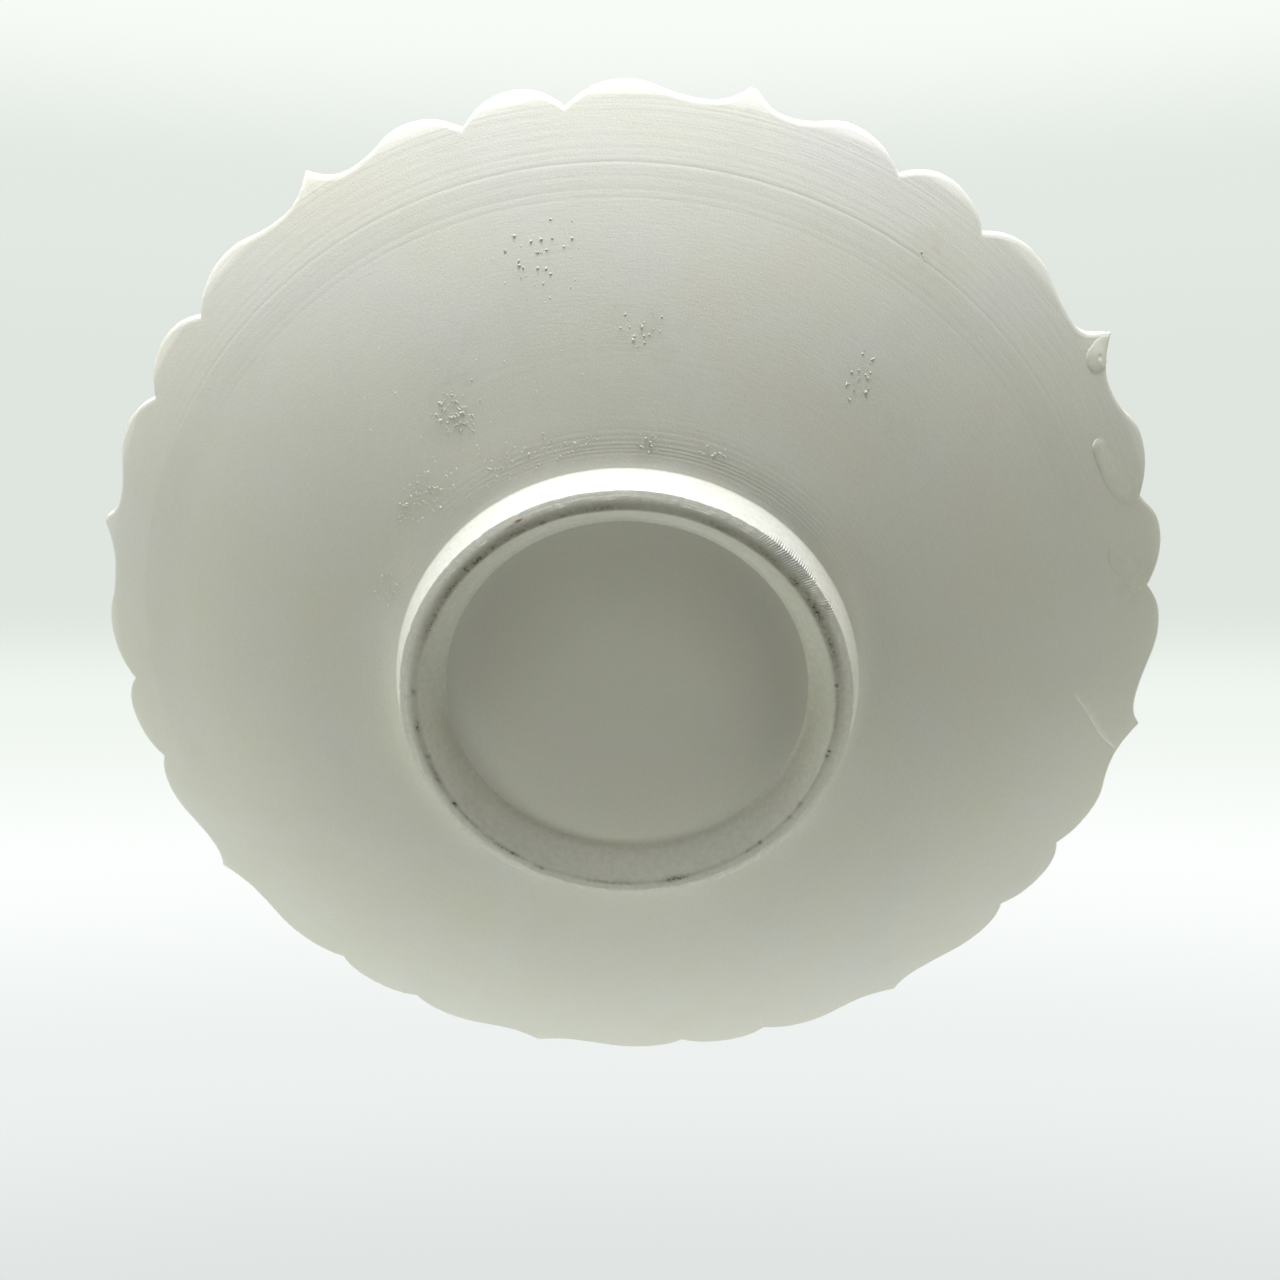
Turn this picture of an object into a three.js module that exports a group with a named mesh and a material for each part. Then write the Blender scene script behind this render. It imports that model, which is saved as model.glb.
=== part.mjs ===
import * as THREE from 'three';

// A deep dish with a scalloped rim, standing on its foot ring.
// Lengths are millimetres and angles are degrees, counter-clockwise seen from above.
// +Z is up. The origin is the centre of the face that the foot ring stands on.

// Rim outline in plan: pointed spurs with three lobes between each pair
const spurCount = 8;
const spurRadius = 165;
const hollowRadius = 159.3;
const lobeRadius = 163;
const notchRadius = 157.2;
const hollowAngle = 4.4;
const sideLobeAngle = 11.3;
const notchAngle = 5.25;
const lobeSkew = -0.75;
const tipSharpness = 2.4;
const lobeFullness = 2.15;
const inflectionShare = 0.58;

// Section of the dish: a flat floor, then one arc out to the rim
const floorRadius = 26.7;
const floorHeight = 8.56;
const backArcRadius = 233;
const floorWall = 6.5;
const rimWall = 5;
const rimEdge = 1.2;
const rimBand = 7;

// Foot ring: a narrow bearing band, a rounded shoulder and a tapering wall
const bearingInnerRadius = 59.7;
const bearingWidth = 2.9;
const shoulderWidth = 1.7;
const shoulderHeight = 2.5;
const ringOuterRadius = 67.2;
const recessRadius = 52.2;

// Glaze: a coat over the front, and runs that came over the rim and down the back
const coatThickness = 0.6;
const layerGap = 0.35;

// Each run starts at the rim's edge, goes inwards by its reach and ends in a point at endAngle
const glazeRuns = [
  { name: 'glaze_drip', startAngle: -44.3, endAngle: -43.9, reach: 7.4, width: 5, depth: 1.1 },
  { name: 'glaze_run_1', startAngle: -29.4, endAngle: -36.4, reach: 11.5, width: 9, depth: 1 },
  { name: 'glaze_run_2', startAngle: -19.3, endAngle: -22.4, reach: 16, width: 9, depth: 0.9 },
  { name: 'glaze_run_3', startAngle: 2.6, endAngle: -4.6, reach: 24, width: 5, depth: 0.7 },
];

// Mesh fineness
const stepsPerSpan = 3;
const wallSteps = 4;
const ringSegments = 96;
const shoulderSteps = 3;
const runSteps = 8;

const biscuit = { color: 0xd9d9cf, roughness: 0.85, metalness: 0 };
const glaze = { color: 0xe9eae2, roughness: 0.25, metalness: 0 };

const sector = 360 / spurCount;
const lobeMiddle = sector / 2 + lobeSkew;
const nearCrown = sideLobeAngle + lobeSkew;
const farCrown = sector - sideLobeAngle + lobeSkew;

// How far the outline has risen from a low point (0) to a high point (1), at share t of the way
const tipShare = (t) => t ** tipSharpness;
const lobeShare = (t) => 1 - (1 - t) ** lobeFullness;
const riseShare = (t) => {
  if (t < inflectionShare) {
    return t ** 2 / inflectionShare;
  }
  return 1 - (1 - t) ** 2 / (1 - inflectionShare);
};

// The outline's spans from one spur to the next, each between a low and a high point
const spans = [
  { low: [hollowAngle, hollowRadius], high: [0, spurRadius], share: tipShare },
  { low: [hollowAngle, hollowRadius], high: [nearCrown, lobeRadius], share: riseShare },
  { low: [lobeMiddle - notchAngle, notchRadius], high: [nearCrown, lobeRadius], share: lobeShare },
  { low: [lobeMiddle - notchAngle, notchRadius], high: [lobeMiddle, lobeRadius], share: lobeShare },
  { low: [lobeMiddle + notchAngle, notchRadius], high: [lobeMiddle, lobeRadius], share: lobeShare },
  { low: [lobeMiddle + notchAngle, notchRadius], high: [farCrown, lobeRadius], share: lobeShare },
  { low: [sector - hollowAngle, hollowRadius], high: [farCrown, lobeRadius], share: riseShare },
  { low: [sector - hollowAngle, hollowRadius], high: [sector, spurRadius], share: tipShare },
];

function outlineRadius(angle) {
  const local = angle - sector * Math.floor(angle / sector);
  const span = spans.find(({ low, high }) => local <= Math.max(low[0], high[0]));
  const t = (local - span.low[0]) / (span.high[0] - span.low[0]);
  return span.low[1] + (span.high[1] - span.low[1]) * span.share(t);
}

// Columns of the dish's mesh, with the same number of steps in every span of the outline
const rimAngles = [];
for (let spur = 0; spur < spurCount; spur += 1) {
  for (const { low, high } of spans) {
    const start = Math.min(low[0], high[0]);
    const width = Math.abs(high[0] - low[0]);
    for (let step = 0; step < stepsPerSpan; step += 1) {
      rimAngles.push(spur * sector + start + (width * step) / stepsPerSpan);
    }
  }
}
const innerAngles = rimAngles.filter((angle, index) => index % 2 === 0);

// Heights of the dish's two faces at a distance r from the axis
function arcRise(r, arcRadius) {
  const out = Math.max(r - floorRadius, 0);
  return arcRadius - Math.sqrt(arcRadius ** 2 - out ** 2);
}

const backHeight = (r) => floorHeight + arcRise(r, backArcRadius);

const rimRun = spurRadius - floorRadius;
const rimSlope = Math.asin(rimRun / backArcRadius);
const frontRise = backHeight(spurRadius) + rimWall / Math.cos(rimSlope) - floorHeight - floorWall;
const frontArcRadius = (rimRun ** 2 + frontRise ** 2) / (2 * frontRise);
const frontHeight = (r) => floorHeight + floorWall + arcRise(r, frontArcRadius);

// Radii of the round rings of the mesh; the foot ring's joint lies on one facet of the back
const bandRadius = Math.min(spurRadius, hollowRadius, lobeRadius, notchRadius) - rimBand;
const stations = [floorRadius, recessRadius, ringOuterRadius];
for (let step = 1; step <= wallSteps; step += 1) {
  stations.push(ringOuterRadius + ((bandRadius - ringOuterRadius) * step) / wallSteps);
}

function polarPoint(r, angle, z) {
  const turn = THREE.MathUtils.degToRad(angle);
  return new THREE.Vector3(r * Math.cos(turn), r * Math.sin(turn), z);
}

function roundRing(r, z) {
  return innerAngles.map((angle) => polarPoint(r, angle, z));
}

// A ring that follows the outline, inset from it; heightAt takes the ring's and the outline's radius
function scallopedRing(inset, heightAt) {
  return rimAngles.map((angle) => {
    const outline = outlineRadius(angle);
    return polarPoint(outline - inset, angle, heightAt(outline - inset, outline));
  });
}

// Triangles between two rings: either may be a single point, or have twice the other's points
function bridge(triangles, lower, upper) {
  const steps = Math.max(lower.length, upper.length);
  const at = (ring, index) => ring[Math.floor((index * ring.length) / steps) % ring.length];
  for (let index = 0; index < steps; index += 1) {
    const [a, b] = [at(lower, index), at(lower, index + 1)];
    const [c, d] = [at(upper, index + 1), at(upper, index)];
    if (a !== b) {
      triangles.push(a, b, c);
    }
    if (c !== d) {
      triangles.push(a, c, d);
    }
  }
}

// A closed body through a stack of rings that starts and ends at a point
function bodyThroughRings(rings) {
  const triangles = [];
  for (let index = 1; index < rings.length; index += 1) {
    bridge(triangles, rings[index - 1], rings[index]);
  }
  const geometry = new THREE.BufferGeometry().setFromPoints(triangles);
  geometry.computeVertexNormals();
  return geometry;
}

function makeMesh(name, geometry, finish) {
  const mesh = new THREE.Mesh(geometry, new THREE.MeshStandardMaterial(finish));
  mesh.name = name;
  return mesh;
}

function dishBody() {
  const centre = (z) => [new THREE.Vector3(0, 0, z)];
  const backRings = stations.map((r) => roundRing(r, backHeight(r)));
  const frontRings = stations.map((r) => roundRing(r, frontHeight(r)));
  return bodyThroughRings([
    centre(floorHeight),
    ...backRings,
    scallopedRing(rimEdge, (r) => backHeight(r)),
    scallopedRing(0, (r, outline) => backHeight(outline) + rimEdge),
    scallopedRing(0, (r, outline) => frontHeight(outline) - rimEdge),
    scallopedRing(rimEdge, (r) => frontHeight(r)),
    ...frontRings.reverse(),
    centre(floorHeight + floorWall),
  ]);
}

// The coat lies on the dish's front, out to where the rim's edge turns down
function glazeCoat() {
  const under = (r) => frontHeight(r) + layerGap;
  const over = (r) => under(r) + coatThickness;
  const underRings = stations.map((r) => roundRing(r, under(r)));
  const overRings = stations.map((r) => roundRing(r, over(r)));
  return bodyThroughRings([
    [new THREE.Vector3(0, 0, under(0))],
    ...underRings,
    scallopedRing(rimEdge, under),
    scallopedRing(rimEdge, over),
    ...overRings.reverse(),
    [new THREE.Vector3(0, 0, over(0))],
  ]);
}

// The ring is luted to the dish's back, so its top has the slope of the back there
function footRing() {
  const bearingOuterRadius = bearingInnerRadius + bearingWidth;
  const profile = [new THREE.Vector2(recessRadius, backHeight(recessRadius) - layerGap)];
  profile.push(new THREE.Vector2(bearingInnerRadius, 0));
  for (let step = 0; step <= shoulderSteps; step += 1) {
    const turn = ((Math.PI / 2) * step) / shoulderSteps;
    const r = bearingOuterRadius + shoulderWidth * Math.sin(turn);
    profile.push(new THREE.Vector2(r, shoulderHeight * (1 - Math.cos(turn))));
  }
  profile.push(new THREE.Vector2(ringOuterRadius, backHeight(ringOuterRadius) - layerGap));
  profile.push(profile[0]);
  return new THREE.LatheGeometry(profile, ringSegments).rotateX(Math.PI / 2);
}

// A run is a flat-backed bead: shares of its half width, and of its depth, round one section
const beadSection = [
  [-1, 0], [-0.5, 0], [0, 0], [0.5, 0], [1, 0], [0.5, 0.87], [0, 1], [-0.5, 0.87],
];

function glazeRun({ startAngle, endAngle, reach, width, depth }) {
  const startRadius = outlineRadius(startAngle) - rimEdge;
  const endRadius = startRadius - reach;
  const seat = (r) => backHeight(r) - layerGap;
  const sections = [];
  for (let step = 0; step < runSteps; step += 1) {
    const along = step / runSteps;
    const angle = THREE.MathUtils.lerp(startAngle, endAngle, along);
    const r = THREE.MathUtils.lerp(startRadius, endRadius, along);
    const swell = 0.6 + 0.4 * Math.sin(Math.PI * along);
    sections.push(beadSection.map(([across, out]) => {
      const aside = THREE.MathUtils.radToDeg((across * swell * width) / 2 / r);
      return polarPoint(r, angle + aside, seat(r) - out * swell * depth);
    }));
  }
  const start = polarPoint(startRadius, startAngle, seat(startRadius));
  const end = polarPoint(endRadius, endAngle, seat(endRadius));
  return bodyThroughRings([[start], ...sections, [end]]);
}

const group = new THREE.Group();
group.add(makeMesh('dish_body', dishBody(), biscuit));
group.add(makeMesh('foot_ring', footRing(), biscuit));
group.add(makeMesh('glaze_coat', glazeCoat(), glaze));
for (const run of glazeRuns) {
  group.add(makeMesh(run.name, glazeRun(run), glaze));
}

export default group;
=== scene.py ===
import math
import random

import bpy
import numpy as np
from mathutils import Matrix, Vector


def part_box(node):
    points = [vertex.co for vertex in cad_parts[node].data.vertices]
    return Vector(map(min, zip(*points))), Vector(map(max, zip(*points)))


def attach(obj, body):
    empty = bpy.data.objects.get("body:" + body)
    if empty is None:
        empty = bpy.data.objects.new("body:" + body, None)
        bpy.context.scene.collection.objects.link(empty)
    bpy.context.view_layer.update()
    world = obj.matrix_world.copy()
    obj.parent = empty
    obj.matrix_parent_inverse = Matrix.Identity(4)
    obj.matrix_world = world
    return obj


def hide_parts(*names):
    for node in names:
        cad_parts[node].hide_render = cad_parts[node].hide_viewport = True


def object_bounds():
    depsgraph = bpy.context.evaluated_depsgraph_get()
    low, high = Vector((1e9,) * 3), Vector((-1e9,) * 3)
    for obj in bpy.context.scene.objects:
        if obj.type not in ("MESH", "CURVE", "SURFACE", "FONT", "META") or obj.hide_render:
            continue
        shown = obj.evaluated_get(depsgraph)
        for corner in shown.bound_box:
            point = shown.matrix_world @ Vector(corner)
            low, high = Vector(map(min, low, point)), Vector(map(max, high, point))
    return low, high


# The looks of a deep dish with a scalloped rim. Lengths are metres unless a name says MM, and
# angles are degrees, counter-clockwise seen from above. +Z is up, and the origin is the centre
# of the face that the foot ring stands on.

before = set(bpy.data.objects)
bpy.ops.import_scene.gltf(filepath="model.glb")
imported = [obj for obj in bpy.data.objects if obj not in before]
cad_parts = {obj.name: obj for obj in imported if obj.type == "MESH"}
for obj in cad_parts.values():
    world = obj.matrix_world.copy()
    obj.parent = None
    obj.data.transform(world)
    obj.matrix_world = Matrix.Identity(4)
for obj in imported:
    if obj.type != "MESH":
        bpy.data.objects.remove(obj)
cad_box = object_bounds()

MM = 0.001

# Sizes that come from the frame
BODY_LOW, BODY_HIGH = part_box("dish_body")
SPUR_RADIUS = BODY_HIGH.x
FLOOR_HEIGHT = BODY_LOW.z
RING_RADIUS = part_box("foot_ring")[1].x

# Rim outline: pointed spurs, with three lobes between each pair
SPURS = 8
HOLLOW_RADIUS = SPUR_RADIUS - 5.7 * MM
LOBE_RADIUS = SPUR_RADIUS - 2.0 * MM
NOTCH_RADIUS = SPUR_RADIUS - 7.8 * MM
HOLLOW_ANGLE = 4.4
SIDE_LOBE_ANGLE = 11.3
NOTCH_ANGLE = 5.25
LOBE_SKEW = -0.75
TIP_SHARPNESS = 2.4
LOBE_FULLNESS = 2.15
INFLECTION_SHARE = 0.58

# Hand trimming left some spurs aside of their even places: the even angle, how many degrees
# aside, and how much longer in mm
LEANING_SPURS = [(-45.0, -0.4, 1.9), (-90.0, 0.3, 0.0), (180.0, 0.25, 0.0)]
LEAN_REACH = 3.2
TIP_REACH = 1.6

# Section: a flat floor, then one arc out to the rim
FLAT_RADIUS = 26.7 * MM
BACK_ARC_RADIUS = 233 * MM
FLOOR_WALL = 6.5 * MM
RIM_WALL = 5.0 * MM
TRIM_BAND_RADIUS = SPUR_RADIUS - 14.8 * MM
TRIM_EDGE = 2.2 * MM
BACK_EDGE_ROUNDING = 0.75 * MM
FRONT_EDGE_ROUNDING = 1.3 * MM

# The section's points: distances from the axis on the back's middle and on the front, and steps
# in from the spurs at the back's edge. What lies lower in the wall than a share of its thickness
# counts as the back
BACK_RADII_MM = (0, 9, 18, 26.7, 34, 42, 48, 51, 56, 62)
FRONT_RADII_MM = (161.5, 158, 154, 150, 142, 130, 115, 98, 80, 62, 44, 26.7, 13, 0)
EDGE_STEPS_MM = (1.7, 1.2, 0.7)
BACK_SHARE = 0.35

# The back's outermost band was rounded off on the wheel, before the outline was trimmed. It is
# steepest at one angle
ROLL_OFF_RADIUS = SPUR_RADIUS - 5.3 * MM
ROLL_OFF_SLOPE = 0.42
ROLL_OFF_BEND = 0.7 * MM
ROLL_OFF_ANGLE = -110.0

# Foot ring
BEARING_INNER_RADIUS = RING_RADIUS - 8.1 * MM
BEARING_CREST_RADIUS = RING_RADIUS - 6.8 * MM
SHOULDER_RADIUS = RING_RADIUS - 3.05 * MM
SHOULDER_RISE = 0.85 * MM
SHOULDER_CURVE = 2.2
SHOULDER_CORNER = 0.35 * MM
SHOULDER_HEIGHT = 2.5 * MM
WALL_TOP_RADIUS = RING_RADIUS - 0.5 * MM
FILLET_HEIGHT = 0.35 * MM
FILLET_REACH = 1.5 * MM
RECESS_RADIUS = RING_RADIUS - 14.4 * MM
BEVEL_BULGE = 0.25 * MM
SHOULDER_LINE_RADIUS = SHOULDER_RADIUS - 0.75 * MM
SHOULDER_LINE_DEPTH = 0.08 * MM
SHOULDER_LINE_HALF_WIDTH = 0.2 * MM

# How the ring's section meets the back, inside and outside: how far in or out from its corner, and
# how far under the back, each point is. Its top lies a little way in the dish's clay
RECESS_END_MM = ((3.4, -0.25), (2.9, -0.12), (2.3, -0.03), (1.6, 0.1), (1.0, 0.25), (0.4, 0.5))
WALL_END_MM = ((0.03, 0.24), (0.1, 0.12), (0.22, 0.04), (0.4, -0.05))
RING_SUNK = 0.6 * MM

# The glaze coat: distances from the axis of its rings, its two faces under and over the clay's
# front, and its lip over the cut edge, as steps in from the spurs and down from the front
COAT_RADII_MM = [0, 13, 26.7, *np.linspace(34, 158, 32), 160.5, 162.6]
COAT_SUNK = 0.15 * MM
COAT_PROUD = 0.45 * MM
COAT_LIP_MM = ((0.9, 1.9), (0.15, 1.7), (0.2, 0.9), (0.9, 0.35))

# Chatter marks on the shoulder: the middle of each burst and its half length. There are shallow
# dents all round it too
SHOULDER_DENTS = 150
CHATTER_BURSTS = [(-56.0, 9.0), (-40.0, 2.2)]
CHATTER_TEETH = 490
CHATTER_SLANT = 0.28 * MM
CHATTER_DEPTH = 0.26 * MM
CHATTER_RADIUS = SHOULDER_RADIUS - 0.8 * MM
CHATTER_HALF_WIDTH = 1.4 * MM

# Mesh fineness: columns round the axis, and the distance between rings on the smooth back, near
# the rim, and at turned lines and the foot
COLUMNS = 480
RING_COLUMNS = 720
RING_STEP = 1.2 * MM
RIM_RING_STEP = 0.6 * MM
FINE_RING_STEP = 0.45 * MM

# The rim was turned off the centre of the trimmed outline. The mesh's rings follow the turned
# lines, and are centred again towards the edge
OFF_CENTRE = 3.4 * MM
OFF_CENTRE_ANGLE = 53.0
OFF_CENTRE_FROM = 95 * MM
OFF_CENTRE_FULL = 140 * MM
CENTRED_EDGE = (SPUR_RADIUS - 17 * MM, SPUR_RADIUS - 9 * MM)

# Turned lines on the back: distance from the turning axis, depth and half width, all in mm.
# They are deepest at one angle and fade away from it
LINES_DEEPEST_ANGLE = -122.0
TURNED_LINES_MM = [
    (164.3, 0.04, 0.3),
    (162.6, 0.05, 0.3),
    (160.4, 0.04, 0.3),
    (157.6, 0.035, 0.3),
    (154.6, 0.045, 0.28),
    (151.8, 0.035, 0.3),
    (149.3, 0.03, 0.35),
    (147.7, 0.022, 0.35),
    (145.9, 0.075, 0.23),
    (142.6, 0.018, 0.3),
    (139.3, 0.036, 0.32),
    (137.3, 0.04, 0.32),
    (97.6, 0.02, 0.9),
    (95, 0.02, 0.9),
    (77, 0.034, 0.32),
    (75.4, 0.046, 0.32),
    (74, 0.058, 0.3),
    (72.8, 0.065, 0.28),
    (71.9, 0.065, 0.28),
    (70.9, 0.06, 0.28),
]


def arc_rise(r, arc_radius):
    """How far an arc that starts level at the flat floor's edge has risen at distance r."""
    out = np.maximum(r - FLAT_RADIUS, 0)
    return arc_radius - np.sqrt(arc_radius ** 2 - out ** 2)


def back_height(r):
    return FLOOR_HEIGHT + arc_rise(r, BACK_ARC_RADIUS)


def front_arc_radius():
    run = SPUR_RADIUS - FLAT_RADIUS
    slope = math.asin(run / BACK_ARC_RADIUS)
    rise = arc_rise(SPUR_RADIUS, BACK_ARC_RADIUS) + RIM_WALL / math.cos(slope) - FLOOR_WALL
    return (run ** 2 + rise ** 2) / (2 * rise)


FRONT_ARC_RADIUS = front_arc_radius()


def front_height(r):
    return FLOOR_HEIGHT + FLOOR_WALL + arc_rise(r, FRONT_ARC_RADIUS)


def outline_radius(degrees):
    """Distance from the axis to the trimmed edge of the rim."""
    sector = 360 / SPURS
    middle = sector / 2 + LOBE_SKEW
    near_crown = SIDE_LOBE_ANGLE + LOBE_SKEW
    far_crown = sector - SIDE_LOBE_ANGLE + LOBE_SKEW
    hollows = ((HOLLOW_ANGLE, 0, near_crown), (sector - HOLLOW_ANGLE, sector, far_crown))
    notches = ((middle - NOTCH_ANGLE, near_crown), (middle + NOTCH_ANGLE, far_crown))
    even = degrees
    for spur, lean, _ in LEANING_SPURS:
        even = even - lean * np.exp(-(turn_from(degrees, spur) / LEAN_REACH) ** 2)
    local = np.mod(even, sector)
    radius = np.full_like(local, LOBE_RADIUS)
    for low, spur, crown in hollows:
        t = (local - low) / (spur - low)
        tip = HOLLOW_RADIUS + (SPUR_RADIUS - HOLLOW_RADIUS) * np.clip(t, 0, 1) ** TIP_SHARPNESS
        radius = np.where((t >= 0) & (t <= 1), tip, radius)
        t = np.clip((local - low) / (crown - low), -1, 2)
        rise = np.where(t < INFLECTION_SHARE, t ** 2 / INFLECTION_SHARE,
                        1 - (1 - t) ** 2 / (1 - INFLECTION_SHARE))
        bank = HOLLOW_RADIUS + (LOBE_RADIUS - HOLLOW_RADIUS) * rise
        radius = np.where((t > 0) & (t < 1), bank, radius)
    for low, side_crown in notches:
        for crown in (side_crown, middle):
            t = (local - low) / (crown - low)
            lobe = 1 - (1 - np.clip(t, 0, 1)) ** LOBE_FULLNESS
            bulge = NOTCH_RADIUS + (LOBE_RADIUS - NOTCH_RADIUS) * lobe
            radius = np.where((t >= 0) & (t <= 1), bulge, radius)
    for spur, lean, longer_mm in LEANING_SPURS:
        away = turn_from(degrees, spur + lean)
        radius = radius + longer_mm * MM * np.exp(-(away / TIP_REACH) ** 2)
    return radius


def turn_from(degrees, place):
    """How far each angle is from a place, the shorter way round, from -180 to 180."""
    return np.mod(degrees - place + 180, 360) - 180


def smooth_share(value, start, end):
    """0 before start, 1 after end, and a smooth rise between."""
    t = np.clip((value - start) / (end - start), 0, 1)
    return t * t * (3 - 2 * t)


def read_points(piece):
    points = np.empty(len(piece.data.vertices) * 3)
    piece.data.vertices.foreach_get("co", points)
    return points.reshape(-1, 3)


def write_points(piece, points):
    piece.data.vertices.foreach_set("co", points.reshape(-1))
    piece.data.update()


def to_polar(points):
    """Distance from the axis, angle in degrees and height of each point."""
    r = np.hypot(points[:, 0], points[:, 1])
    return r, np.degrees(np.arctan2(points[:, 1], points[:, 0])), points[:, 2]


def from_polar(r, degrees, z):
    turn = np.radians(degrees)
    return np.stack([r * np.cos(turn), r * np.sin(turn), z], axis=1)


def face_outwards(weld=None):
    """Turns the newest piece's faces outwards; first, points closer than weld become one."""
    bpy.ops.object.mode_set(mode="EDIT")
    bpy.ops.mesh.select_all(action="SELECT")
    if weld:
        bpy.ops.mesh.remove_doubles(threshold=weld)
    bpy.ops.mesh.normals_make_consistent(inside=False)
    bpy.ops.object.mode_set(mode="OBJECT")


def spun_piece(name, profile, columns):
    """A turned body: one vertex extruded from point to point of its section, then turned round."""
    r, z = profile[0]
    bpy.ops.mesh.primitive_plane_add(size=MM, location=(r, 0, z))
    piece = bpy.context.object
    piece.name = name
    bpy.ops.object.mode_set(mode="EDIT")
    bpy.ops.mesh.merge(type="CENTER")
    for (r0, z0), (r1, z1) in zip(profile, profile[1:]):
        bpy.ops.mesh.extrude_region_move(TRANSFORM_OT_translate={"value": (r1 - r0, 0, z1 - z0)})
    bpy.ops.object.mode_set(mode="OBJECT")
    bpy.ops.object.transform_apply(location=True, rotation=True, scale=True)
    bpy.ops.object.modifier_add(type="SCREW")
    turning = piece.modifiers[0]
    turning.steps = columns
    turning.render_steps = columns
    bpy.ops.object.modifier_apply(modifier=turning.name)
    face_outwards(weld=0.002 * MM)
    bpy.ops.object.shade_smooth()
    return piece


def rounded_corner(centre, radius, start, end, steps):
    """Points of a section's corner arc, from one angle to another, in (r, z)."""
    turns = np.radians(np.linspace(start, end, steps))
    return [(centre[0] + radius * math.cos(t), centre[1] + radius * math.sin(t)) for t in turns]


def trim_to_outline(points):
    """Draws the round rim in to the trimmed outline, with its edge kept as it is."""
    r, degrees, z = to_polar(points)
    pull = SPUR_RADIUS - outline_radius(degrees)
    inner_edge = SPUR_RADIUS - TRIM_EDGE
    share = np.clip((r - TRIM_BAND_RADIUS) / (inner_edge - TRIM_BAND_RADIUS), 0, 1)
    new_r = r - pull * share
    return from_polar(new_r, degrees, z + back_height(new_r) - back_height(r))


def off_centre_shift(r, degrees):
    """How far in a turned line lies at this angle, because the rim was turned off centre."""
    share = smooth_share(r, OFF_CENTRE_FROM, OFF_CENTRE_FULL)
    return OFF_CENTRE * share * np.cos(np.radians(degrees + OFF_CENTRE_ANGLE))


def turned_relief(r, degrees):
    """Height of the turned lines on the back, outwards, at each point; they come and go."""
    line_mm = (r + off_centre_shift(r, degrees)) / MM
    relief = np.zeros_like(line_mm)
    draw = random.Random(11)
    fade = (0.55 + 0.45 * np.cos(np.radians(degrees - LINES_DEEPEST_ANGLE))) ** 1.5
    for place, depth, half_width in TURNED_LINES_MM:
        swing = fade * (0.8 + 0.2 * np.cos(np.radians(3 * degrees) + draw.uniform(0, 6.28)))
        relief -= depth * swing * np.exp(-((line_mm - place) / half_width) ** 2)
    return relief * MM


def rim_roll_off(r, degrees):
    """How far the rounded-off outermost band of the back rises above the arc of the back."""
    turn = np.radians(degrees)
    start = ROLL_OFF_RADIUS + 0.3 * MM * (np.cos(5 * turn) + np.cos(11 * turn + 1))
    out = np.maximum(r - start, 0)
    steepness = ROLL_OFF_SLOPE * (0.65 + 0.35 * np.cos(turn - math.radians(ROLL_OFF_ANGLE)))
    return steepness * out ** 2 / (out + ROLL_OFF_BEND)


def foot_fillet(r):
    """How far the back's clay is drawn out towards the foot ring's wall."""
    return FILLET_HEIGHT * np.exp(-np.maximum(r - WALL_TOP_RADIUS, 0) / FILLET_REACH)


def back_slope(r):
    """The angle that the back's arc has risen to at distance r."""
    return np.arcsin(np.clip(r - FLAT_RADIUS, 0, None) / BACK_ARC_RADIUS)


def back_lift(r, degrees):
    """How far the fillet and the turned lines stand off the back's arc, square to it."""
    lines = turned_relief(r, degrees) * smooth_share(r, RING_RADIUS, RING_RADIUS + 2 * MM)
    return lines + foot_fillet(r)


def hand_unevenness(r, degrees):
    """The slow rise and fall of a thrown wall, under half a millimetre."""
    draw = random.Random(5)
    turn = np.radians(degrees)
    swell = np.zeros_like(r)
    for waves in (2, 3, 4, 5):
        phase = draw.uniform(0, 2 * math.pi)
        reach = draw.uniform(50, 90) * MM
        swell += 0.12 * MM * np.cos(waves * turn + phase + r / reach)
    return swell * smooth_share(r, RING_RADIUS, RING_RADIUS + 25 * MM)


def back_ring_radii():
    """Radii of the rings on the back: closer together at the foot, at turned lines and the rim."""
    start, end = RING_RADIUS - 0.4 * MM, SPUR_RADIUS - TRIM_EDGE
    fine = [(place + share * half_width) * MM
            for place, _, half_width in TURNED_LINES_MM if place * MM < TRIM_BAND_RADIUS
            for share in (-1.6, -0.7, 0, 0.7, 1.6)]
    fine += list(np.arange(TRIM_BAND_RADIUS, end - 0.5 * RIM_RING_STEP, RIM_RING_STEP))
    fine += list(np.arange(RING_RADIUS, RING_RADIUS + 4 * MM, FINE_RING_STEP))
    radii = [start] + sorted(fine)
    for r in np.arange(start, end, RING_STEP):
        if min(abs(r - other) for other in radii) > FINE_RING_STEP:
            radii.append(r)
    return sorted(radii) + [end]


def dish_section():
    """The dish's section from the axis under the floor, round the rim and back to the axis."""
    section = [(r * MM, back_height(r * MM)) for r in BACK_RADII_MM]
    section += [(r, back_height(r)) for r in back_ring_radii()]
    for in_mm in EDGE_STEPS_MM:
        section.append((SPUR_RADIUS - in_mm * MM, back_height(SPUR_RADIUS - in_mm * MM)))
    low, high = back_height(SPUR_RADIUS), front_height(SPUR_RADIUS)
    corner = (SPUR_RADIUS - BACK_EDGE_ROUNDING, low + 0.9 * BACK_EDGE_ROUNDING)
    section += rounded_corner(corner, BACK_EDGE_ROUNDING, -52, 0, 5)
    corner = (SPUR_RADIUS - FRONT_EDGE_ROUNDING, high - 1.5 * FRONT_EDGE_ROUNDING)
    section += rounded_corner(corner, FRONT_EDGE_ROUNDING, 0, 125, 8)
    return section + [(r * MM, front_height(r * MM)) for r in FRONT_RADII_MM]


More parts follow.
